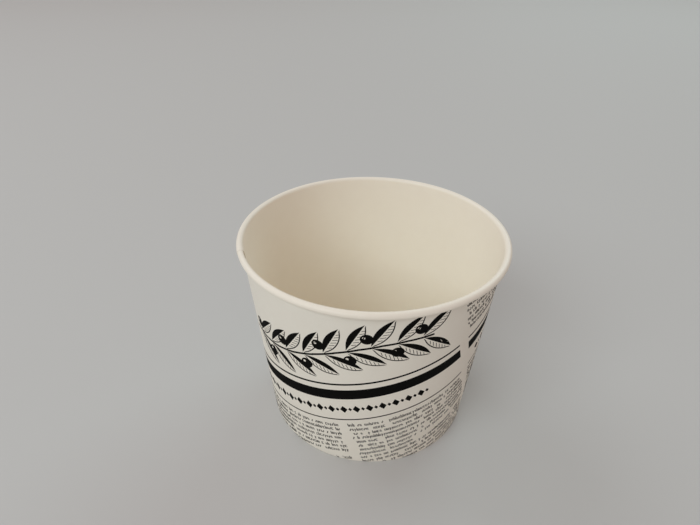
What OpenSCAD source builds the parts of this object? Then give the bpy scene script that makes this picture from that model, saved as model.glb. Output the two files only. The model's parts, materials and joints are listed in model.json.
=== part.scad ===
// Paper food bowl: a tapered board wall with a rolled rim and a hemmed foot, a pressed-in base disc,
// and a newspaper-style page printed in black. The foot stands on z = 0 and the front faces -Y.

/* [Bowl] */
// Diameter over the rolled rim
rim_d = 115; // [105:1:130]
// Outer diameter at the foot
foot_d = 93; // [84:1:100]
// Overall height
bowl_h = 91; // [75:1:110]

/* [Board] */
// Thickness of the wall's coated board
board_t = 0.45; // [0.35:0.05:0.7]
// Thickness of the bottom disc's board
disc_t = 0.4; // [0.3:0.05:0.6]

/* [Rolled rim] */
// Diameter of the roll
roll_d = 3; // [2.6:0.1:4.5]
// Gap between the tucked edge of the roll and the wall
tuck_gap = 0.2; // [0.1:0.05:0.4]

/* [Foot] */
// Height of the disc's underside above the table
recess_h = 8; // [7:0.5:12]
// Height of the wall's folded-in hem
hem_h = 6; // [4:0.5:6]
// Rounding of the folded bottom edge
fold_r = 0.3; // [0.15:0.05:0.35]
// Outer radius of the bend between the disc and its skirt
bend_r = 1.2; // [0.8:0.1:1.6]
// Clearance on each side of the skirt, for the sealing film
seal_gap = 0.05; // [0.02:0.01:0.1]

/* [Side seam] */
// Direction of the outer cut edge, seen from above, anticlockwise from +X
seam_turn = 192; // [150:1:210]
// Width of the overlap
lap_w = 6; // [4:0.5:9]
// Angle over which the outer end of the blank eases back to the round
lap_sweep = 85; // [40:1:87]

/* [Printed page] */
// Thickness of the ink
ink_t = 0.06; // [0.04:0.01:0.12]
// Tilt of the page where it crosses the front
page_tilt = 15; // [0:0.1:18]
// Share of the fan's spread that is drawn into the page's lines as a bow
page_bow = 0.6; // [0:0.05:1]
// Left edge of the front story's right-hand column, from the middle of the front
column_x = -1; // [-10:0.1:10]
// Width of one column of text
column_w = 54.3; // [45:0.1:60]
// Blank gutter beside each column
gutter_w = 5.2; // [3:0.1:9]
// Height of the thick band's lower edge above the foot, along the page
band_y = 43.1; // [35:0.1:50]
// Height of the thick band
band_w = 5.4; // [3:0.1:7]
// Gap between the band and the rule above it
rule_gap = 2.8; // [1.5:0.1:4]
// Thickness of the rule above the band
rule_w = 0.9; // [0.5:0.1:1.5]
// Distance from the band down to the rule below the headline
headline_h = 12.4; // [10:0.1:16]
// Thickness of the rule below the headline
fine_rule_w = 0.6; // [0.4:0.1:1.2]
// Distance down the page from one story's band to the next
story_h = 82; // [75:1:100]
// Length of the headline's row of ornaments
headline_w = 90; // [40:1:95]
// Height of a headline ornament
ornament_h = 4.2; // [3:0.1:5]
// Distance from one headline ornament to the next
ornament_step = 2.7; // [2.4:0.1:4]
// Distance from line to line in the text
line_pitch = 2.85; // [2.4:0.05:4]
// Height of a line of text
line_w = 1.1; // [0.8:0.1:1.6]
// Gap between two groups of words
word_gap = 1.4; // [0.8:0.1:2.5]
// Gap between the text and the rules above and below it
text_margin = 3.6; // [2:0.1:6]

/* [Printed branch] */
// Length of the branch
branch_w = 88; // [60:1:95]
// Height of its middle above the front story's upper rule
branch_y = 16; // [12:0.1:20]
// Rise and fall of the stalk
branch_sway = 2.4; // [0:0.1:4]
// Distance between the leaf pairs
leaf_step = 9.6; // [7:0.1:14]
// Length of a leaf
leaf_len = 15.5; // [10:0.1:18]
// Width of a leaf
leaf_w = 5.4; // [3:0.1:7]
// Angle between a leaf and the stalk
leaf_turn = 42; // [25:1:60]
// Radius of a fruit
fruit_r = 2.5; // [1:0.1:3.5]
// Thickness of the stalk
stalk_w = 0.9; // [0.5:0.1:1.5]

/* [Hidden] */
$fn = 96;

foot_r = foot_d / 2;
roll_r = roll_d / 2;
// Centre of the roll's section
roll_c = [rim_d / 2 - roll_r, bowl_h - roll_r];
// Angle between wall and axis at which the wall's inner face runs into the roll without a kink
wall_angle = acos((roll_r - board_t) / norm(roll_c - [foot_r, 0]))
    - atan2(roll_c.y, roll_c.x - foot_r);
// Distances from the wall's outer face, measured level
board_dr = board_t / cos(wall_angle);
skirt_dr = board_dr + seal_gap / cos(wall_angle);
skirt_end_dr = skirt_dr + disc_t / cos(wall_angle);
slot_dr = skirt_end_dr + seal_gap / cos(wall_angle);
hem_dr = slot_dr + board_dr;
// The lapped and printed part of the wall, from just above the fold to just under the roll
edge_gap = 0.1;
face_low = fold_r + edge_gap;
face_top = bowl_h - roll_d - edge_gap;
disc_top = recess_h + disc_t;
lap_turn = lap_w / foot_r * 180 / PI;
// Distance from the flat blank's apex to the foot
apex_s = foot_r / sin(wall_angle);
// The blank's left end, as a turn from the front
blank_from = seam_turn + 90 - 360;
ink_dr = ink_t / cos(wall_angle);

// Height and side clearance of the tenon that carries the wall up inside the roll's board
tenon_h = 0.3;
tenon_gap = 0.05;
// Depth and height of a print stamp
stamp_in = 3;
stamp_out = 1;
// Longest stretch of bar in one stamp, overlap of two stretches, and what every other one is wider by,
// so that no edge runs along the next one's
bar_step = 10;
bar_lap = 0.3;
bar_extra = 0.1;
// Steps in each rounded corner of a section
corner_steps = 4;
// Lines from one paragraph's end to the next
paragraph = 8;
// Width of an ornament as a share of its height
lozenge = 0.75;
// Share of a leaf's length that its midrib runs
rib_share = 0.7;

function face_r(z) = foot_r + z * tan(wall_angle);
function arc(c, r, from, to) = [
    for (i = [0 : corner_steps])
        let (a = from + (to - from) * i / corner_steps) c + r * [cos(a), sin(a)]
];
// A point of the flat page, from the middle of the foot's front, as [turn from the front, height]
function on_wall(p) =
    let (bowed = p.y - page_bow * p.x ^ 2 / (2 * apex_s),
         x = p.x * cos(page_tilt) - bowed * sin(page_tilt),
         y = p.x * sin(page_tilt) + bowed * cos(page_tilt) + apex_s)
    [atan2(x, y) / sin(wall_angle), (norm([x, y]) - apex_s) * cos(wall_angle)];
// Turn that the bow gives to the page's lines at a distance from the middle of the front
function bow_turn(x) = atan(page_bow * x / apex_s);
function is_printed(w) = w[1] > face_low && w[1] < face_top && w[0] > blank_from && w[0] < blank_from + 360;
// Height of the branch's stalk at a distance from its middle
function stalk_y(x) = band_y + band_w + rule_gap + rule_w + branch_y
    + branch_sway * sin(360 * x / branch_w);

// Section of the wall, from the hem around the fold and up to the start of the roll
module wall_section() {
    out = [cos(wall_angle), -sin(wall_angle)];
    up = [sin(wall_angle), cos(wall_angle)];
    inner = roll_c - roll_r * out;
    outer = inner + board_t * out;
    low = face_r(fold_r);
    polygon(concat(
        [inner, inner + tenon_gap * out + tenon_h * up, outer - tenon_gap * out + tenon_h * up, outer],
        arc([low - fold_r, fold_r], fold_r, 0, -90),
        arc([low - hem_dr + fold_r, fold_r], fold_r, -90, -180),
        [[face_r(hem_h) - hem_dr, hem_h], [face_r(hem_h) - slot_dr, hem_h]],
        [[face_r(board_t) - slot_dr, board_t], [face_r(board_t) - board_dr, board_t]]
    ));
}

// Section of the roll: it leaves the wall, goes over the top and tucks its edge in beneath
module roll_section() {
    translate(roll_c) rotate(-wall_angle) difference() {
        circle(roll_r);
        circle(roll_r - board_t);
        translate([-roll_d, -roll_d]) square([roll_r + board_t + tuck_gap, roll_d]);
    }
}

// Solid cone to the wall's outer face between two heights, grown or shrunk by a level distance
module face_cone(grow, z0, z1) {
    translate([0, 0, z0]) cylinder(h = z1 - z0, r1 = face_r(z0) + grow, r2 = face_r(z1) + grow);
}

// The part of that cone under the blank's outer end, which lies one board proud at its cut edge
module lap_cone(grow, z0, z1, from) {
    intersection() {
        translate(board_t * [cos(seam_turn), sin(seam_turn), 0]) face_cone(grow, z0, z1);
        linear_extrude(bowl_h) polygon([
            [0, 0],
            for (a = [from, (from + seam_turn + lap_sweep) / 2, seam_turn + lap_sweep])
                rim_d * [cos(a), sin(a)]
        ]);
    }
}

module side_wall() {
    color("ivory") difference() {
        union() {
            rotate_extrude() {
                wall_section();
                roll_section();
            }
            difference() {
                lap_cone(0, face_low, face_top, seam_turn);
                face_cone(-board_dr / 2, 0, bowl_h);
            }
        }
        lap_cone(-board_dr, disc_top, face_top, seam_turn + lap_turn);
    }
}

module base_disc() {
    bend_z = disc_top - bend_r;
    bend_c = [face_r(bend_z) - skirt_dr - bend_r / cos(wall_angle), bend_z];
    color("floralwhite") rotate_extrude() polygon(concat(
        [[0, recess_h]],
        arc(bend_c, bend_r - disc_t, 90, -wall_angle),
        [[face_r(board_t) - skirt_end_dr, board_t], [face_r(board_t) - skirt_dr, board_t]],
        arc(bend_c, bend_r, -wall_angle, 90),
        [[0, disc_top]]
    ));
}

// Presses a flat shape through the ink at a point of the page, level with the page's lines
module stamp(p) {
    w = on_wall(p);
    if (is_printed(w))
        rotate(w[0] - 90)
        translate([face_r(w[1]), 0, w[1]])
        rotate([0, wall_angle, 0])
        rotate([90, 0, 90])
        rotate(page_tilt + w[0] * sin(wall_angle) - bow_turn(p.x))
        translate([0, 0, -stamp_in])
        linear_extrude(stamp_in + stamp_out) children();
}

// A bar along the page, in stretches short enough for the round wall
module bar(x0, x1, y, w) {
    n = ceil((x1 - x0) / bar_step);
    d = (x1 - x0) / n;
    for (i = [0 : n - 1]) {
        x = x0 + (i + 0.5) * d;
        stamp([x, y + w / 2])
            square([d / cos(bow_turn(x)) + bar_lap, w + bar_extra * (i % 2)], center = true);
    }
}

// Lines of text from one height down to another, in two groups of words a line
module text_column(x, y_from, y_to) {
    for (i = [0 : floor((y_from - y_to) / line_pitch)]) {
        y = y_from - i * line_pitch;
        split = column_w * (0.4 + 0.05 * (i * 3 % 5));
        stamp([x + (split - word_gap) / 2, y]) square([split - word_gap, line_w], center = true);
        if (i % paragraph != paragraph - 1)
            stamp([x + (split + column_w) / 2, y])
                square([column_w - split, line_w], center = true);
    }
}

// A row of lozenges and small diamonds, where a headline stands
module headline(x, y) {
    for (i = [0 : floor(headline_w / ornament_step)]) {
        size = i % 2 == 0 ? ornament_h : ornament_h / 2;
        stamp([x + (i + 0.5) * ornament_step, y])
            polygon(size / 2 * [[-lozenge, 0], [0, -1], [lozenge, 0], [0, 1]]);
    }
}

// One story two columns wide: rule, thick band, headline, rule and text down to the next story
module story(x, y) {
    width = 2 * column_w + gutter_w;
    bar(x, x + width, y, band_w);
    bar(x, x + width, y + band_w + rule_gap, rule_w);
    bar(x, x + width, y - headline_h - fine_rule_w, fine_rule_w);
    headline(x + gutter_w, y - headline_h / 2);
    for (c = [0, 1])
        text_column(x + c * (column_w + gutter_w), y - headline_h - fine_rule_w - text_margin,
            y - story_h + band_w + rule_gap + rule_w + text_margin);
}

// A leaf centred on the origin, with a pale midrib
module leaf() {
    r = (leaf_len ^ 2 + leaf_w ^ 2) / (4 * leaf_w);
    difference() {
        intersection_for (side = [-1, 1])
            translate([0, side * (r - leaf_w / 2)]) circle(r);
        square([rib_share * leaf_len, stalk_w / 2], center = true);
    }
}

// A leafy branch with round fruit, in the picture space over the front story
module branch() {
    count = floor(branch_w / leaf_step);
    for (i = [0 : count - 1]) {
        x = (i + 0.5 - count / 2) * leaf_step;
        p = [x, stalk_y(x)];
        slope = atan2(stalk_y(x + leaf_step / 2) - stalk_y(x - leaf_step / 2), leaf_step);
        stamp(p) rotate(slope) square([leaf_step / cos(slope), stalk_w], center = true);
        for (side = [-1, 1]) {
            turn = slope + side * leaf_turn;
            reach = leaf_len / 2 + stalk_w;
            stamp(p + reach * [cos(turn), sin(turn)]) rotate(turn) leaf();
        }
        side = i % 2 == 0 ? 1 : -1;
        stamp(p + side * (stalk_w + 1.5 * fruit_r) * [sin(-slope), cos(slope)]) difference() {
            circle(fruit_r);
            translate(fruit_r * [-0.35, 0.35]) circle(fruit_r / 4);
        }
    }
}

module page() {
    width = 2 * (column_w + gutter_w);
    for (s = [0 : 2], k = [0, 1])
        story(column_x + (s - 0.5) * width, band_y - k * story_h);
    for (s = [1, 2], c = [0, 1])
        text_column(column_x + (s - 0.5 + c / 2) * width, band_y + story_h - headline_h,
            band_y + band_w + rule_gap + rule_w + text_margin);
    branch();
}

module newsprint() {
    color("black") intersection() {
        page();
        difference() {
            union() {
                face_cone(ink_dr, face_low, face_top);
                lap_cone(ink_dr, face_low, face_top, seam_turn);
            }
            face_cone(0, 0, bowl_h);
            lap_cone(0, 0, bowl_h, seam_turn);
        }
    }
}

side_wall();
base_disc();
newsprint();
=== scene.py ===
import json
import math

import bmesh
import bpy
import numpy as np
from mathutils import Matrix, Vector

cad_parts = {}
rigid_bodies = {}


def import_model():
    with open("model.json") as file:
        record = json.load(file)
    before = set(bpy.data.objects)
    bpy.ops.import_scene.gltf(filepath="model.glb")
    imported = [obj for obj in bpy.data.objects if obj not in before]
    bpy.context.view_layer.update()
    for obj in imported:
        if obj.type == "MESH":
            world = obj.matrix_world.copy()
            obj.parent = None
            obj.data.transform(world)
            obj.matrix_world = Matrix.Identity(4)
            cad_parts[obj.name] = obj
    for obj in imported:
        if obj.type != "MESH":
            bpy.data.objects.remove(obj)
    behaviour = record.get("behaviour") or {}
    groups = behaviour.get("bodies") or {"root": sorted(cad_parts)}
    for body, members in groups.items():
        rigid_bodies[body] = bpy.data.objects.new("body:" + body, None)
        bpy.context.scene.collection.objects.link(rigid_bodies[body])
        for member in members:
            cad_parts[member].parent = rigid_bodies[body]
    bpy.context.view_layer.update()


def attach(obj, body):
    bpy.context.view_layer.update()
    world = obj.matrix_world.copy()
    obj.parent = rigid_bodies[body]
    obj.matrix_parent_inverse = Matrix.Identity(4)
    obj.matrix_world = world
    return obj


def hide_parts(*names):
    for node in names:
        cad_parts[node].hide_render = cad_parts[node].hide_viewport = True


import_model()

# Side wall.
# One fan-shaped blank of coated cup board, wrapped to a cone and hot-sealed where its ends lap. The
# top edge is rolled outwards into the rim; the lower edge is folded in and up round the disc's skirt.
MM = 0.001
RIM_R = 57.5 * MM
FOOT_R = 46.5 * MM
BOWL_H = 91 * MM
BOARD_T = 0.45 * MM
ROLL_R = 1.5 * MM
HEM_H = 6 * MM
FOLD_R = 0.3 * MM
SKIRT_T = 0.4 * MM
SEAL_GAP = 0.05 * MM
SEAM_TURN = 192.0
LAP_W = 6 * MM
LAP_SWEEP = 85.0
LAP_STEP = BOARD_T + 0.01 * MM
LAP_FULL_Z = 1.2 * MM
ROLL_SWEEP = 307.0
ROLL_SQUEEZE = 0.75
EDGE_GAP = 0.1 * MM
SWAY_FROM, SWAY_TO = 4 * MM, 70 * MM
SWAY_OVAL, SWAY_THREE, SWAY_RIPPLE = 0.10 * MM, 0.05 * MM, 0.02 * MM
SHARP = math.radians(40)
# Noise cells in a metre: cloudy fibre of about 5 mm and the board's tooth of about 0.4 mm
FIBRE_CLOUD, BOARD_TOOTH = 180.0, 2600.0
TOOTH_DEPTH = 0.05 * MM
KNURLS, KNURL_DEPTH = 150.0, 0.2 * MM

roll_c = np.array([RIM_R - ROLL_R, BOWL_H - ROLL_R])
wall_angle = math.acos((ROLL_R - BOARD_T) / math.hypot(roll_c[0] - FOOT_R, roll_c[1])) - math.atan2(
    roll_c[1], roll_c[0] - FOOT_R)
sin_w, cos_w, tan_w = math.sin(wall_angle), math.cos(wall_angle), math.tan(wall_angle)
out_n = np.array([cos_w, -sin_w])
board_dr = BOARD_T / cos_w
slot_dr = board_dr + (2 * SEAL_GAP + SKIRT_T) / cos_w
hem_dr = slot_dr + board_dr
face_top = BOWL_H - 2 * ROLL_R - EDGE_GAP
lap_turn = math.degrees(LAP_W / FOOT_R)


def smooth(x, a, b):
    """0 below a, 1 above b, and a soft ramp between them."""
    t = np.clip((np.asarray(x, float) - a) / (b - a), 0, 1)
    return t * t * (3 - 2 * t)


def sway(turn, z):
    """How far a formed bowl's slight unevenness sets the board off the true cone. turn is in degrees."""
    t = np.radians(turn)
    oval, three_sided, ripple = np.cos(2 * t + 0.6), np.sin(3 * t + 1.9), np.sin(7 * t)
    wave = SWAY_OVAL * oval + SWAY_THREE * three_sided + SWAY_RIPPLE * ripple
    return smooth(z, SWAY_FROM, SWAY_TO) * wave


def lap_ease(past):
    """Share of the lap's step that is left, at so many degrees past the seam."""
    return np.cos(np.radians(90) * np.clip(past / LAP_SWEEP, 0, 1))


def lap_lift(turn, z):
    """How far the blank's outer end is pushed out by the end under it. Turns run on from SEAM_TURN."""
    past = np.mod(np.asarray(turn, float) - SEAM_TURN, 360)
    return LAP_STEP * lap_ease(past) * smooth(z, FOLD_R, LAP_FULL_Z)


def wall_face(turn, z, lift):
    """Points on the wall's printed face, raised off it by lift. turn is in degrees from +X, anticlockwise."""
    turn, z = np.asarray(turn, float), np.asarray(z, float)
    off = lift + lap_lift(turn, z)
    r = FOOT_R + z * tan_w + off * cos_w + sway(turn, z)
    t = np.radians(turn)
    return np.stack([r * np.cos(t), r * np.sin(t), z - off * sin_w], -1)


def linear(hex_colour):
    """A #rrggbb colour as linear RGBA."""
    c = [int(hex_colour[i:i + 2], 16) / 255 for i in (1, 3, 5)]
    return [x / 12.92 if x <= 0.04045 else ((x + 0.055) / 1.055) ** 2.4 for x in c] + [1.0]


def add(tree, kind, links=(), **values):
    """Adds a node. Values set its sockets, or its own properties, by name; links are (socket, output)."""
    n = tree.nodes.new(kind)
    for key, value in values.items():
        name = key.replace("_", " ")
        if name in n.inputs:
            n.inputs[name].default_value = value
        else:
            setattr(n, key, value)
    for socket, output in links:
        tree.links.new(output, n.inputs[socket])
    return n


def board(name, pale, dark, rough, grain, knurled=False):
    """Coated cup board: nearly even, with faint cloudy fibre and a fine tooth that breaks the shine."""
    mat = bpy.data.materials.new(name)
    mat.use_nodes = True
    tree = mat.node_tree
    shader = tree.nodes["Principled BSDF"]
    place = add(tree, "ShaderNodeTexCoord").outputs["Object"]
    cloud = add(tree, "ShaderNodeTexNoise", [("Vector", place)], Scale=FIBRE_CLOUD, Detail=4.0)
    tone = add(tree, "ShaderNodeMix", [(0, cloud.outputs[0])], data_type="RGBA")
    tone.inputs[6].default_value = linear(pale)
    tone.inputs[7].default_value = linear(dark)
    tree.links.new(tone.outputs[2], shader.inputs["Base Color"])
    tooth = add(tree, "ShaderNodeTexNoise", [("Vector", place)], Scale=BOARD_TOOTH, Detail=3.0)
    bump = add(tree, "ShaderNodeBump", [("Height", tooth.outputs[0])], Strength=grain, Distance=TOOTH_DEPTH)
    if knurled:
        axis = add(tree, "ShaderNodeSeparateXYZ", [(0, place)])
        turn = add(tree, "ShaderNodeMath", [(0, axis.outputs["Y"]), (1, axis.outputs["X"])],
                   operation="ARCTAN2")
        ribs = add(tree, "ShaderNodeMath", [(0, turn.outputs[0])], operation="MULTIPLY")
        ribs.inputs[1].default_value = KNURLS
        wave = add(tree, "ShaderNodeMath", [(0, ribs.outputs[0])], operation="SINE")
        zone = add(tree, "ShaderNodeAttribute", attribute_name="hem")
        deep = add(tree, "ShaderNodeMath", [(0, wave.outputs[0]), (1, zone.outputs["Fac"])],
                   operation="MULTIPLY")
        bump = add(tree, "ShaderNodeBump", [("Height", deep.outputs[0]), ("Normal", bump.outputs[0])],
                   Strength=0.6, Distance=KNURL_DEPTH)
    tree.links.new(bump.outputs[0], shader.inputs["Normal"])
    shader.inputs["Roughness"].default_value = rough
    shader.inputs["IOR"].default_value = 1.5
    return mat


def solid(name, verts, faces, indices, materials, attributes=()):
    """A closed mesh piece, smooth but for its real corners, at the origin."""
    mesh = bpy.data.meshes.new(name)
    mesh.from_pydata([tuple(v) for v in verts], [], [tuple(int(i) for i in f) for f in faces])
    for mat in materials:
        mesh.materials.append(mat)
    mesh.polygons.foreach_set("material_index", np.asarray(indices, np.int32))
    for label, values in attributes:
        mesh.attributes.new(label, "FLOAT", "POINT").data.foreach_set("value", np.asarray(values, np.float32))
    mesh.shade_smooth()
    mesh.set_sharp_from_angle(angle=SHARP)
    mesh.validate()
    obj = bpy.data.objects.new(name, mesh)
    bpy.context.scene.collection.objects.link(obj)
    return obj


def sheet_faces(cells, turns, stations):
    """Faces of a sheet of board with two sides, and what each is: 0 printed, 1 coated, 2 cut edge.
    Vertex 2 * (i * stations + j) is on the printed side and the next one on the coated side. Only the
    cells set in the mask exist."""
    faces, kinds = [], []

    def v(i, j, side):
        return 2 * (i * stations + j) + side

    def there(i, j):
        return 0 <= i < turns - 1 and 0 <= j < stations - 1 and cells[i, j]

    for i, j in zip(*np.nonzero(cells)):
        faces.append((v(i, j, 0), v(i + 1, j, 0), v(i + 1, j + 1, 0), v(i, j + 1, 0)))
        faces.append((v(i, j, 1), v(i, j + 1, 1), v(i + 1, j + 1, 1), v(i + 1, j, 1)))
        kinds += [0, 1]
        edges = [(i, j - 1, (i, j), (i + 1, j)), (i + 1, j, (i + 1, j), (i + 1, j + 1)),
                 (i, j + 1, (i + 1, j + 1), (i, j + 1)), (i - 1, j, (i, j + 1), (i, j))]
        for ni, nj, a, b in edges:
            if not there(ni, nj):
                faces.append((v(*a, 0), v(*a, 1), v(*b, 1), v(*b, 0)))
                kinds.append(2)
    return faces, kinds


def side_wall():
    # Stations along the blank, from the hem's cut edge to the roll's: (printed side, coated side, printed
    # side's normal, zone, share of the lap's step that shows there, as the rolling tool squeezes it flat)
    low = FOOT_R + FOLD_R * tan_w

    def face_r(z):
        return FOOT_R + z * tan_w

    rows = []
    for z in np.linspace(HEM_H, FOLD_R, 7)[:-1]:
        zc = np.interp(z, [FOLD_R, HEM_H], [BOARD_T, HEM_H])
        rows.append(((face_r(z) - hem_dr, z), (face_r(zc) - slot_dr, zc), (-1, 0), "hem", 0))
    c = (low - hem_dr + FOLD_R, FOLD_R)
    for a in np.radians(np.linspace(-180, -90, 5)):
        rows.append(((c[0] + FOLD_R * math.cos(a), c[1] + FOLD_R * math.sin(a)),
                     (face_r(BOARD_T) - slot_dr, BOARD_T), (0, -1), "fold", 0))
    c = (low - FOLD_R, FOLD_R)
    for a in np.radians(np.linspace(-90, 0, 5)):
        rows.append(((c[0] + FOLD_R * math.cos(a), c[1] + FOLD_R * math.sin(a)),
                     (face_r(BOARD_T) - board_dr, BOARD_T), (0, -1), "fold", 0))
    top = roll_c - (ROLL_R - BOARD_T) * out_n
    heights = np.concatenate([[0.6, 0.9, 1.2, 2.0], np.arange(4, 86, 3.0)]) * MM
    for z in heights[heights < top[1] - 1.5 * MM]:
        p = np.array([face_r(z), z])
        rows.append((p, p - BOARD_T * out_n, out_n, "wall", 1))
    start = math.pi - wall_angle
    for a in start - np.radians(np.linspace(0, ROLL_SWEEP, 42)):
        d = np.array([math.cos(a), math.sin(a)])
        squeezed = 1 - ROLL_SQUEEZE * float(smooth(start - a, 0, 1))
        rows.append((roll_c + (ROLL_R - BOARD_T) * d, roll_c + ROLL_R * d, -d, "roll", squeezed))
    printed = np.array([r[0] for r in rows])
    coated = np.array([r[1] for r in rows])
    normal = np.array([r[2] for r in rows], float)
    zone = [r[3] for r in rows]
    stations = len(rows)

    lap = np.linspace(0, lap_turn, 9)
    turns = SEAM_TURN + np.concatenate([lap[:-1], np.arange(lap_turn, 360, 1.0), 360 + lap])
    n = len(turns)
    past = turns - SEAM_TURN
    under = past > 360 - 1e-6
    verts = np.zeros((n, stations, 2, 3))
    for side, line in enumerate((printed, coated)):
        weight = smooth(printed[:, 1], FOLD_R, LAP_FULL_Z) * np.array([r[4] for r in rows])
        off = LAP_STEP * lap_ease(past)[:, None] * weight[None, :]
        r = line[None, :, 0] + off * normal[None, :, 0] + sway(turns[:, None], printed[None, :, 1])
        z = line[None, :, 1] + off * normal[None, :, 1]
        t = np.radians(turns)[:, None]
        verts[:, :, side] = np.stack([r * np.cos(t), r * np.sin(t), z + 0 * t], -1)
    cells = np.ones((n - 1, stations - 1), bool)
    first_under = int(np.argmax(under))
    walls = [k for k in range(stations) if zone[k] == "wall" and printed[k, 1] >= LAP_FULL_Z - 0.01 * MM]
    rolls = [k for k in range(stations) if zone[k] == "roll"]
    cells[first_under:] = False
    cells[first_under:, walls[0]:rolls[-3]] = True
    faces, kinds = sheet_faces(cells, n, stations)
    hem = np.repeat(np.tile([float(z == "hem") for z in zone], n), 2)
    # Board as the bowl-maker buys it: smooth white outside, film-coated cream inside, bare fibre where cut
    outside = board("cupboard_outside", "#f4f0e4", "#efeadd", 0.6, 0.25, knurled=True)
    inside = board("cupboard_film_side", "#faf4e6", "#f7f0e1", 0.45, 0.15)
    edge = board("cupboard_cut_edge", "#e6e1d3", "#d8d1be", 0.8, 0.6)
    return solid("side_wall_board", verts.reshape(-1, 3), faces, kinds, [outside, inside, edge],
                 [("hem", hem)])


wall = side_wall()
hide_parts("side_wall")
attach(wall, "root")

# Bottom disc.
# A disc of the same coated board with its edge bent down as a skirt, held in the wall's hem by the film.
RECESS_H = 8 * MM
BEND_R = 1.2 * MM
RING_R, RING_W, RING_SINK = 39 * MM, 0.9 * MM, 0.18 * MM


def base_disc():
    disc_top = RECESS_H + SKIRT_T
    bend_z = disc_top - BEND_R
    skirt_dr = (BOARD_T + SEAL_GAP) / cos_w
    bend_r = FOOT_R + bend_z * tan_w - skirt_dr - BEND_R / cos_w
    rows = []
    for r in np.concatenate([np.linspace(0, 36, 10)[:-1], np.linspace(36, 42, 13), [43, 44]]) * MM:
        if r < bend_r - 0.2 * MM:
            # A shallow ring that the forming tool presses in
            sink = RING_SINK * math.exp(-((r - RING_R) / RING_W) ** 2)
            rows.append(((r, RECESS_H - sink), (r, disc_top - sink)))
    c = np.array([bend_r, bend_z])
    for a in np.radians(np.linspace(90, -math.degrees(wall_angle), 12)):
        d = np.array([math.cos(a), math.sin(a)])
        rows.append((c + (BEND_R - SKIRT_T) * d, c + BEND_R * d))
    for z in np.linspace(bend_z, BOARD_T, 6)[1:]:
        p = np.array([FOOT_R + z * tan_w - skirt_dr, z])
        rows.append((p - [SKIRT_T / cos_w, 0], p))
    under = np.array([r[0] for r in rows])
    over = np.array([r[1] for r in rows])
    stations, n = len(rows), 240
    t = np.radians(np.arange(n) * 360 / n)
    verts, faces, kinds = [], [], []
    for line in (under, over):
        verts.append((0, 0, line[0, 1]))
        for r, z in line[1:]:
            verts += [(r * math.cos(a), r * math.sin(a), z) for a in t]
    half = 1 + (stations - 1) * n

    def v(side, j, i):
        return side * half + (0 if j == 0 else 1 + (j - 1) * n + i % n)

    for i in range(n):
        faces.append((v(0, 0, 0), v(0, 1, i + 1), v(0, 1, i)))
        faces.append((v(1, 0, 0), v(1, 1, i), v(1, 1, i + 1)))
        kinds += [0, 1]
        for j in range(1, stations - 1):
            faces.append((v(0, j, i), v(0, j, i + 1), v(0, j + 1, i + 1), v(0, j + 1, i)))
            faces.append((v(1, j, i), v(1, j + 1, i), v(1, j + 1, i + 1), v(1, j, i + 1)))
            kinds += [0, 1]
        j = stations - 1
        faces.append((v(0, j, i), v(0, j, i + 1), v(1, j, i + 1), v(1, j, i)))
        kinds.append(2)
    # The disc's board is film-coated above and plain below
    plain = board("disc_board_under", "#e7e3d9", "#e1dccf", 0.65, 0.3)
    film, edge = bpy.data.materials["cupboard_film_side"], bpy.data.materials["cupboard_cut_edge"]
    return solid("base_disc_board", verts, faces, kinds, [plain, film, edge])


disc = base_disc()
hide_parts("base_disc")
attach(disc, "root")

# Printed bands, rules and headline ornaments.
# Black flexographic ink on the blank's outside, printed flat, so that its lines run skewed on the cone.
PAGE_TILT = math.radians(15)
PAGE_BOW = 0.6
INK_T = 0.04 * MM
INK_SINK = 0.01 * MM
COLUMN_X, COLUMN_W, GUTTER_W = -1.0 * MM, 54.3 * MM, 5.2 * MM
BAND_Y, BAND_W = 43.1 * MM, 5.4 * MM
RULE_GAP, RULE_W = 2.8 * MM, 0.9 * MM
HEADLINE_H, FINE_RULE_W = 12.4 * MM, 0.6 * MM
STORY_H = 82 * MM
HEADLINE_W, ORNAMENT_H, ORNAMENT_STEP = 90 * MM, 4.2 * MM, 2.7 * MM
LOZENGE = 0.75
STORIES = 3
CUT_STEP = 2.5 * MM
INK_PORES = 1500.0
BLANK_FROM = SEAM_TURN - 270
BLANK_EDGE = 0.02
apex_s = FOOT_R / sin_w
story_w = 2 * (COLUMN_W + GUTTER_W)


def flexo_ink():
    """Matt black ink, a little thin and warm where it missed the board's pores."""
    mat = bpy.data.materials.new("flexo_black_ink")
    mat.use_nodes = True
    tree = mat.node_tree
    shader = tree.nodes["Principled BSDF"]
    place = add(tree, "ShaderNodeTexCoord").outputs["Object"]
    pores = add(tree, "ShaderNodeTexNoise", [("Vector", place)], Scale=INK_PORES, Detail=3.0)
    ramp = add(tree, "ShaderNodeValToRGB", [("Fac", pores.outputs[0])])
    ramp.color_ramp.elements[0].position = 0.35
    ramp.color_ramp.elements[0].color = linear("#040403")
    ramp.color_ramp.elements[1].position = 0.8
    ramp.color_ramp.elements[1].color = linear("#0b0a08")
    tree.links.new(ramp.outputs[0], shader.inputs["Base Color"])
    shader.inputs["Roughness"].default_value = 0.85
    shader.inputs["IOR"].default_value = 1.5
    shader.inputs["Specular IOR Level"].default_value = 0.1
    return mat


def on_wall(x, y):
    """Turn from the front in degrees and height, of a point of the page."""
    bowed = y - PAGE_BOW * x * x / (2 * apex_s)
    a = x * math.cos(PAGE_TILT) - bowed * math.sin(PAGE_TILT)
    b = x * math.sin(PAGE_TILT) + bowed * math.cos(PAGE_TILT) + apex_s
    return math.degrees(math.atan2(a, b)) / sin_w, (math.hypot(a, b) - apex_s) * cos_w


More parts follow.
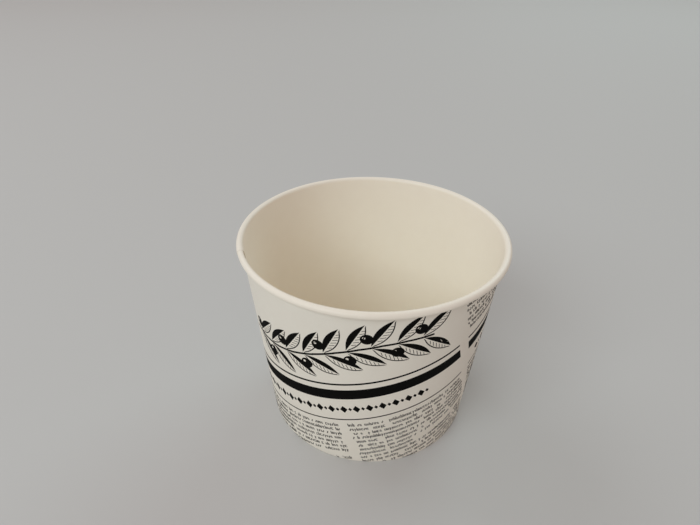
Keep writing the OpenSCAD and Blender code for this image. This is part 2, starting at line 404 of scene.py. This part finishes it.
def press(bm, name, materials):
    """Turns flat shapes on the page into a closed layer of ink on the wall, cut off at the blank's edges.
    On the way a point holds its turn in thousands of degrees and its height."""
    for v in bm.verts:
        turn, z = on_wall(v.co.x, v.co.y)
        v.co = (turn / 1000, z, 0)
    ends = [((BLANK_FROM + BLANK_EDGE) / 1000, (-1, 0, 0)),
            ((BLANK_FROM + 360 - BLANK_EDGE) / 1000, (1, 0, 0)),
            (FOLD_R, (0, -1, 0)), (face_top, (0, 1, 0))]
    for at, side in ends:
        bmesh.ops.bisect_plane(bm, geom=bm.verts[:] + bm.edges[:] + bm.faces[:], dist=1e-9,
                               plane_co=Vector(side) * (at * sum(side)), plane_no=side, clear_outer=True)
    flat = bm.faces[:]
    bmesh.ops.recalc_face_normals(bm, faces=flat)
    for f in flat:
        f.normal_update()
        if f.normal.z > 0:
            f.normal_flip()
    made = bmesh.ops.extrude_face_region(bm, geom=flat, use_keep_orig=True)
    raised = {g for g in made["geom"] if isinstance(g, bmesh.types.BMVert)}
    co = np.array([v.co[:2] for v in bm.verts])
    lift = np.array([INK_T if v in raised else -INK_SINK for v in bm.verts])
    for v, p in zip(bm.verts, wall_face(co[:, 0] * 1000 - 90, co[:, 1], lift)):
        v.co = p
    bmesh.ops.recalc_face_normals(bm, faces=bm.faces[:])
    mesh = bpy.data.meshes.new(name)
    bm.to_mesh(mesh)
    bm.free()
    for mat in materials:
        mesh.materials.append(mat)
    mesh.shade_smooth()
    mesh.set_sharp_from_angle(angle=SHARP)
    obj = bpy.data.objects.new(name, mesh)
    bpy.context.scene.collection.objects.link(obj)
    return obj


def shape(bm, points, at=(0, 0), turn=0.0):
    """Adds one flat outline to the page, cut into strips narrow enough for the round wall."""
    c, s = math.cos(turn), math.sin(turn)
    verts = [bm.verts.new((at[0] + x * c - y * s, at[1] + x * s + y * c, 0)) for x, y in points]
    faces = [bm.faces.new(verts)]
    xs = [v.co.x for v in verts]
    for x in np.arange(min(xs) + CUT_STEP, max(xs), CUT_STEP):
        geom = {g for f in faces for g in [f, *f.edges, *f.verts]}
        cut = bmesh.ops.bisect_plane(bm, geom=list(geom), dist=1e-9, plane_co=(x, 0, 0),
                                     plane_no=(1, 0, 0))
        faces = [g for g in cut["geom"] if isinstance(g, bmesh.types.BMFace)]


def bar(bm, x0, x1, y, w):
    """Adds a bar along the page, as a strip of quads."""
    n = max(1, math.ceil((x1 - x0) / CUT_STEP))
    xs = np.linspace(x0, x1, n + 1)
    low = [bm.verts.new((x, y, 0)) for x in xs]
    high = [bm.verts.new((x, y + w, 0)) for x in xs]
    for i in range(n):
        bm.faces.new((low[i], low[i + 1], high[i + 1], high[i]))


def heads():
    bm = bmesh.new()
    for s in range(STORIES):
        for k in (0, 1):
            x, y = COLUMN_X + (s - 0.5) * story_w, BAND_Y - k * STORY_H
            width = story_w - GUTTER_W
            bar(bm, x, x + width, y, BAND_W)
            bar(bm, x, x + width, y + BAND_W + RULE_GAP, RULE_W)
            bar(bm, x, x + width, y - HEADLINE_H - FINE_RULE_W, FINE_RULE_W)
            for i in range(int(HEADLINE_W / ORNAMENT_STEP) + 1):
                size = ORNAMENT_H / 2 * (1 if i % 2 == 0 else 0.5)
                shape(bm, [(-LOZENGE * size, 0), (0, -size), (LOZENGE * size, 0), (0, size)],
                      (x + GUTTER_W + (i + 0.5) * ORNAMENT_STEP, y - HEADLINE_H / 2))
    return press(bm, "ink_heads", [ink])


ink = flexo_ink()
ink_heads = heads()
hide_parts("newsprint")
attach(ink_heads, "root")

# Printed text.
# The same ink in columns of small marks that stand for lines of type.
LINE_PITCH = 2.85 * MM
TYPE_H = 1.35 * MM
TYPE_PITCH = 1.02 * MM
TEXT_MARGIN = 3.6 * MM
MARK_W, STEM_W = 0.84 * MM, 0.3 * MM
WORD_GAP_SHARE, SETTING_SEED = 0.17, 5
PARAGRAPH, LAST_LINE_SHARE = 8, 0.45


def type_marks():
    """A few marks as wide as a letter, each a flat mesh: blocks, stems, boxes and dashes."""
    w, h, s = MARK_W, TYPE_H, STEM_W
    kinds = [
        [(0, 0, w, h)],
        [(0, 0, s, 1.45 * h), (1.6 * s, 0, w, h)],
        [(0, 0, w, 0.8 * s), (0, h - 0.8 * s, w, h), (0, 0.9 * s, s, h - 0.9 * s)],
        [(0, 0, s, h), (w - s, 0, w, h)],
        [(0.5 * s, 0.1 * h, w, 0.42 * h), (0, 0.6 * h, w - 0.5 * s, 0.92 * h)],
        [(0.25 * w, -0.4 * h, 0.25 * w + s, h), (0.5 * w, 0.35 * h, w, 0.7 * h)],
        [(0, 0, 0.55 * w, 0.5 * h), (0.45 * w, 0.55 * h, w, h)],
    ]
    group = bpy.data.collections.new("type_marks")
    for k, boxes in enumerate(kinds):
        verts, faces = [], []
        for x0, y0, x1, y1 in boxes:
            b = len(verts)
            verts += [(x0, y0, 0), (x1, y0, 0), (x1, y1, 0), (x0, y1, 0)]
            faces.append((b, b + 1, b + 2, b + 3))
        mesh = bpy.data.meshes.new(f"type_mark_{k}")
        mesh.from_pydata(verts, [], faces)
        group.objects.link(bpy.data.objects.new(f"type_mark_{k}", mesh))
    return group


def typesetter(group):
    """Sets a mark at each letter's place along the lines, and leaves some out as the gaps between words."""
    tree = bpy.data.node_groups.new("typesetter", "GeometryNodeTree")
    tree.interface.new_socket("Geometry", in_out="INPUT", socket_type="NodeSocketGeometry")
    for label, kind in (("Letter pitch", "Float"), ("Word gap share", "Float"), ("Seed", "Int"),
                        ("Marks", "Collection"), ("Ink", "Material")):
        tree.interface.new_socket(label, in_out="INPUT", socket_type="NodeSocket" + kind)
    tree.interface.new_socket("Geometry", in_out="OUTPUT", socket_type="NodeSocketGeometry")
    given = add(tree, "NodeGroupInput").outputs
    curve = add(tree, "GeometryNodeMeshToCurve", [(0, given["Geometry"])])
    points = add(tree, "GeometryNodeResampleCurve",
                 [("Curve", curve.outputs[0]), ("Length", given["Letter pitch"])], mode="LENGTH")
    gap = add(tree, "FunctionNodeRandomValue",
              [("Probability", given["Word gap share"]), ("Seed", given["Seed"])], data_type="BOOLEAN")
    # The random node's fourth output is its boolean one
    kept = add(tree, "FunctionNodeBooleanMath", [(0, gap.outputs[3])], operation="NOT")
    marks = add(tree, "GeometryNodeCollectionInfo", [("Collection", given["Marks"])])
    marks.inputs["Separate Children"].default_value = True
    marks.inputs["Reset Children"].default_value = True
    which = add(tree, "FunctionNodeRandomValue", [("Seed", given["Seed"])], data_type="INT")
    which.inputs[4].default_value = 0
    which.inputs[5].default_value = len(group.objects) - 1
    wide = add(tree, "FunctionNodeRandomValue", data_type="FLOAT_VECTOR")
    wide.inputs[0].default_value = (0.85, 0.92, 1.0)
    wide.inputs[1].default_value = (1.12, 1.05, 1.0)
    put = add(tree, "GeometryNodeInstanceOnPoints",
              [("Points", points.outputs[0]), ("Selection", kept.outputs[0]), ("Instance", marks.outputs[0]),
               ("Instance Index", which.outputs[2]), ("Scale", wide.outputs[0])])
    put.inputs["Pick Instance"].default_value = True
    real = add(tree, "GeometryNodeRealizeInstances", [(0, put.outputs[0])])
    inked = add(tree, "GeometryNodeSetMaterial", [("Geometry", real.outputs[0]), ("Material", given["Ink"])])
    add(tree, "NodeGroupOutput", [(0, inked.outputs[0])])
    return tree


def text_lines():
    """Start and end of each line of type, on the page."""
    lines = []

    def column(x, y_from, y_to):
        for i in range(int((y_from - y_to) / LINE_PITCH) + 1):
            share = LAST_LINE_SHARE if i % PARAGRAPH == PARAGRAPH - 1 else 1.0
            lines.append((x, x + COLUMN_W * share, y_from - i * LINE_PITCH - TYPE_H / 2))

    rule_top = BAND_Y + BAND_W + RULE_GAP + RULE_W
    for s in range(STORIES):
        for c in (0, 1):
            x = COLUMN_X + (s - 0.5 + c / 2) * story_w
            for k in (0, 1):
                y = BAND_Y - k * STORY_H
                column(x, y - HEADLINE_H - FINE_RULE_W - TEXT_MARGIN,
                       y - STORY_H + BAND_W + RULE_GAP + RULE_W + TEXT_MARGIN)
            if s:
                column(x, BAND_Y + STORY_H - HEADLINE_H, rule_top + TEXT_MARGIN)
    return lines


def text():
    verts, edges = [], []
    for x0, x1, y in text_lines():
        spots = [on_wall(x, y) for x in np.linspace(x0, x1, 9)]
        if any(BLANK_FROM - 12 < t < BLANK_FROM + 372 and -3 * MM < z < face_top + 3 * MM for t, z in spots):
            edges.append((len(verts), len(verts) + 1))
            verts += [(x0, y, 0), (x1, y, 0)]
    lines = bpy.data.meshes.new("text_lines")
    lines.from_pydata(verts, edges, [])
    obj = bpy.data.objects.new("text_lines", lines)
    bpy.context.scene.collection.objects.link(obj)
    group = type_marks()
    tree = typesetter(group)
    setting = obj.modifiers.new("typesetter", "NODES")
    setting.node_group = tree
    given = {"Letter pitch": TYPE_PITCH, "Word gap share": WORD_GAP_SHARE, "Seed": SETTING_SEED,
             "Marks": group, "Ink": ink}
    for item in tree.interface.items_tree:
        if item.in_out == "INPUT" and item.name in given:
            setting[item.identifier] = given[item.name]
    obj.update_tag()
    dg = bpy.context.evaluated_depsgraph_get()
    plain = bpy.data.meshes.new_from_object(obj.evaluated_get(dg))
    bm = bmesh.new()
    bm.from_mesh(plain)
    bpy.data.objects.remove(obj)
    for o in list(group.objects):
        bpy.data.objects.remove(o)
    bpy.data.collections.remove(group)
    return press(bm, "ink_text", [ink])


ink_text = text()
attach(ink_text, "root")

# Printed branch.
# The same ink as a leafy branch with round fruit, in the picture space over the front story.
BRANCH_W, BRANCH_Y, BRANCH_SWAY = 88 * MM, 16 * MM, 2.4 * MM
LEAF_STEP, LEAF_LEN, LEAF_W = 9.6 * MM, 15.5 * MM, 5.4 * MM
LEAF_TURN = math.radians(42)
FRUIT_R, STALK_W = 2.5 * MM, 0.9 * MM
OUTLINE_W = 0.45 * MM
VEIN_W, VEIN_SHIFT, VEIN_LEAN, VEIN_REACH = 0.3 * MM, 0.9 * MM, 0.8, 0.72


def branch():
    bm = bmesh.new()
    r = (LEAF_LEN ** 2 + LEAF_W ** 2) / (4 * LEAF_W)
    half = math.asin(LEAF_LEN / 2 / r)
    rib = STALK_W / 4

    def stalk_y(x):
        middle = BAND_Y + BAND_W + RULE_GAP + RULE_W + BRANCH_Y
        return middle + BRANCH_SWAY * math.sin(2 * math.pi * x / BRANCH_W)

    def rim(side, inset=0.0):
        pts = []
        for a in np.linspace(-half, half, 13):
            y = r * math.cos(a) - (r - LEAF_W / 2) - inset
            pts.append((LEAF_LEN / 2 + r * math.sin(a), side * max(y, rib)))
        return pts

    def leaf(at, turn):
        # One half solid, the other an outline with veins
        shape(bm, rim(1), at, turn)
        line = rim(-1)
        inner = rim(-1, OUTLINE_W)
        for a, b, c, d in zip(line, line[1:], inner[1:], inner):
            if abs(a[1] - d[1]) + abs(b[1] - c[1]) > 0.02 * MM:
                quad = [a, b, c, d]
                quad = [q for k, q in enumerate(quad) if q != quad[k - 1]]
                if len(quad) > 2:
                    shape(bm, quad, at, turn)
        for x in np.arange(0.22, 0.8, 0.11):
            x0 = LEAF_LEN * x
            rim_y = r * math.cos(math.asin((x0 + VEIN_SHIFT - LEAF_LEN / 2) / r)) - (r - LEAF_W / 2)
            reach = VEIN_REACH * rim_y
            if reach > 2 * rib:
                x1 = x0 + VEIN_LEAN * reach
                shape(bm, [(x0, -rib), (x0 + VEIN_W, -rib), (x1 + VEIN_W, -reach), (x1, -reach)], at, turn)

    # A fruit is a disc in two halves, which meet through the middle of its round highlight
    gleam, gleam_r = 0.35 * FRUIT_R, FRUIT_R / 4
    top = math.acos(-gleam / FRUIT_R)

    def arc(cx, cy, radius, a0, a1, n):
        return [(cx + radius * math.cos(a), cy + radius * math.sin(a)) for a in np.linspace(a0, a1, n)]

    quarter = math.pi / 2
    fruit_halves = [
        arc(0, 0, FRUIT_R, -top, top, 15) + arc(-gleam, gleam, gleam_r, quarter, -quarter, 6),
        arc(0, 0, FRUIT_R, top, 2 * math.pi - top, 11)
        + arc(-gleam, gleam, gleam_r, -quarter, -3 * quarter, 6)]
    count = int(BRANCH_W / LEAF_STEP)
    for i in range(count):
        x = (i + 0.5 - count / 2) * LEAF_STEP
        y = stalk_y(x)
        slope = math.atan2(stalk_y(x + LEAF_STEP / 2) - stalk_y(x - LEAF_STEP / 2), LEAF_STEP)
        h = LEAF_STEP / 2 / math.cos(slope)
        w = STALK_W / 2
        shape(bm, [(-h, -w), (h, -w), (h, w), (-h, w)], (x, y), slope)
        for side in (-1, 1):
            turn = slope + side * LEAF_TURN
            leaf((x + STALK_W * math.cos(turn), y + STALK_W * math.sin(turn)), turn)
        side = 1 if i % 2 == 0 else -1
        away = side * (STALK_W + 1.5 * FRUIT_R)
        c = (x - away * math.sin(slope), y + away * math.cos(slope))
        for half_fruit in fruit_halves:
            shape(bm, half_fruit, c)
    return press(bm, "ink_branch", [ink])


ink_branch = branch()
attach(ink_branch, "root")

# Table, light and camera.
# A plain pale table top, two soft windows on the left, a pale wall behind on the right and a dim room.
FLOOR_HALF = 3
LIGHT_AIM = (0, 0, 0.05)
floor_mesh = bpy.data.meshes.new("floor")
floor_mesh.from_pydata([(x * FLOOR_HALF, y * FLOOR_HALF, 0) for x, y in ((-1, -1), (1, -1), (1, 1), (-1, 1))],
                       [], [(0, 1, 2, 3)])
floor = bpy.data.objects.new("floor", floor_mesh)
bpy.context.scene.collection.objects.link(floor)
table_top = bpy.data.materials.new("matt_table_top")
table_top.use_nodes = True
top_shader = table_top.node_tree.nodes["Principled BSDF"]
top_shader.inputs["Base Color"].default_value = linear("#c8c8c6")
top_shader.inputs["Roughness"].default_value = 0.7
floor_mesh.materials.append(table_top)

world = bpy.data.worlds.new("room")
bpy.context.scene.world = world
world.use_nodes = True
world.node_tree.nodes["Background"].inputs["Color"].default_value = linear("#ffe7e0")
world.node_tree.nodes["Background"].inputs["Strength"].default_value = 0.395


def area_light(name, at, size, power, colour):
    data = bpy.data.lights.new(name, "AREA")
    data.shape = "RECTANGLE"
    data.size, data.size_y = size
    data.energy = power
    data.color = linear(colour)[:3]
    obj = bpy.data.objects.new(name, data)
    obj.location = at
    obj.rotation_mode = "QUATERNION"
    obj.rotation_quaternion = (Vector(LIGHT_AIM) - Vector(at)).to_track_quat("-Z", "Y")
    bpy.context.scene.collection.objects.link(obj)


area_light("back_window", (-1.5, 1.1, 1.9), (1.6, 1.4), 11.9, "#edfaff")
area_light("side_window", (-0.9, -1.3, 1.3), (1.4, 1.0), 16.7, "#edfbff")
area_light("pale_wall", (1.0, 1.6, 1.4), (1.4, 1.0), 10.7, "#d9fcff")

# The camera's place, fitted to the photo's rim, foot and outlines
PHOTO_W, FOCAL_PX, SENSOR_MM = 700, 545.5, 36
CAMERA_AT = (0, -0.202187, 0.205245)
cam_data = bpy.data.cameras.new("camera")
cam_data.sensor_width = SENSOR_MM
cam_data.lens = FOCAL_PX / PHOTO_W * SENSOR_MM
cam_data.clip_start, cam_data.clip_end = 0.01, 20
camera = bpy.data.objects.new("camera", cam_data)
right = Vector((0.99859, 0.052662, 0.006738))
up = Vector((-0.034188, 0.540741, 0.840494))
back = right.cross(up)
turned = Matrix((right, up, back)).transposed().to_4x4()
camera.matrix_world = Matrix.Translation(CAMERA_AT) @ turned
bpy.context.scene.collection.objects.link(camera)
bpy.context.scene.camera = camera
bpy.context.scene.view_settings.view_transform = "Standard"
